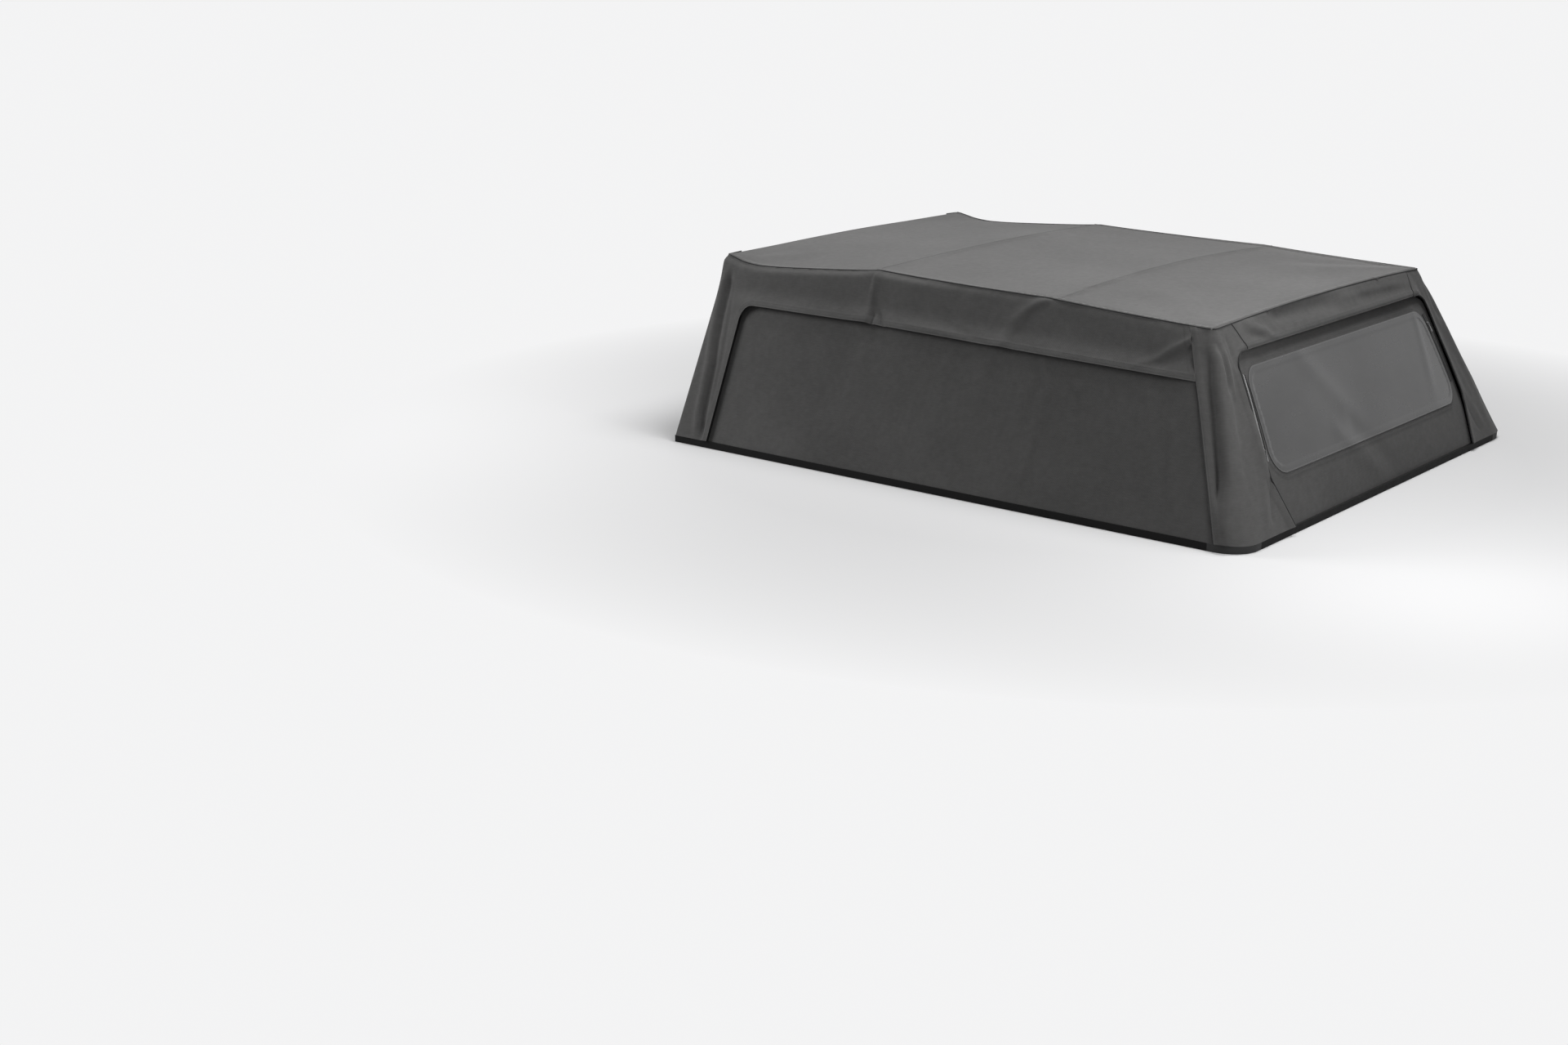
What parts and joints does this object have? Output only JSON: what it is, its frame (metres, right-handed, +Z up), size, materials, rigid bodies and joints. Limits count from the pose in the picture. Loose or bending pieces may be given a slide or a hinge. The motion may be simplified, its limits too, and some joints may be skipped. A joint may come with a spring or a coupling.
{
  "type": "soft folding cargo bed canopy",
  "caption": "Black fabric canopy on tube bows for a pickup's cargo bed, with sloped walls, zipped side and rear curtains and a tinted rear window.",
  "frame": {"origin": "middle of the rectangle that the rails rest on, at the level of their undersides", "axes": "+Z up, +Y to the front bulkhead end, the rear window faces -Y, the side shown in the picture faces -X"},
  "size_m": [1.86, 2.02, 0.602],
  "materials": {
    "roof_fabric": "coated twill with a fine matt grain",
    "wall_fabric": "coated twill with a fine matt grain",
    "window_film": "dark tinted flexible film",
    "zip_tape": "woven tape with moulded teeth",
    "rail_metal": "satin black powder coat",
    "tube_paint": "satin black powder coat",
    "moulded_plastic": "fine moulded grain"
  },
  "bodies": {
    "root": {"bow_1": "tube_paint", "bow_2": "tube_paint", "bow_3": "tube_paint", "bow_4": "tube_paint", "bow_socket_1_left": "moulded_plastic", "bow_socket_1_right": "moulded_plastic", "bow_socket_2_left": "moulded_plastic", "bow_socket_2_right": "moulded_plastic", "bow_socket_3_left": "moulded_plastic", "bow_socket_3_right": "moulded_plastic", "bow_socket_4_left": "moulded_plastic", "bow_socket_4_right": "moulded_plastic", "corner_cap_left": "moulded_plastic", "corner_cap_right": "moulded_plastic", "front_bar": "rail_metal", "front_panel": "wall_fabric", "front_pillar_left": "wall_fabric", "front_pillar_right": "wall_fabric", "front_window": "window_film", "pillar_zip_left": "zip_tape", "pillar_zip_right": "zip_tape", "rear_bar": "rail_metal", "rear_corner_left": "wall_fabric", "rear_corner_right": "wall_fabric", "rear_curtain": "wall_fabric", "rear_valance": "wall_fabric", "rear_window": "window_film", "rear_zip": "zip_tape", "roof_deck": "roof_fabric", "side_curtain_left": "wall_fabric", "side_curtain_right": "wall_fabric", "side_flap_left": "wall_fabric", "side_flap_right": "wall_fabric", "side_rail_left": "rail_metal", "side_rail_right": "rail_metal", "side_zip_left": "zip_tape", "side_zip_right": "zip_tape"}
  },
  "joints": []
}
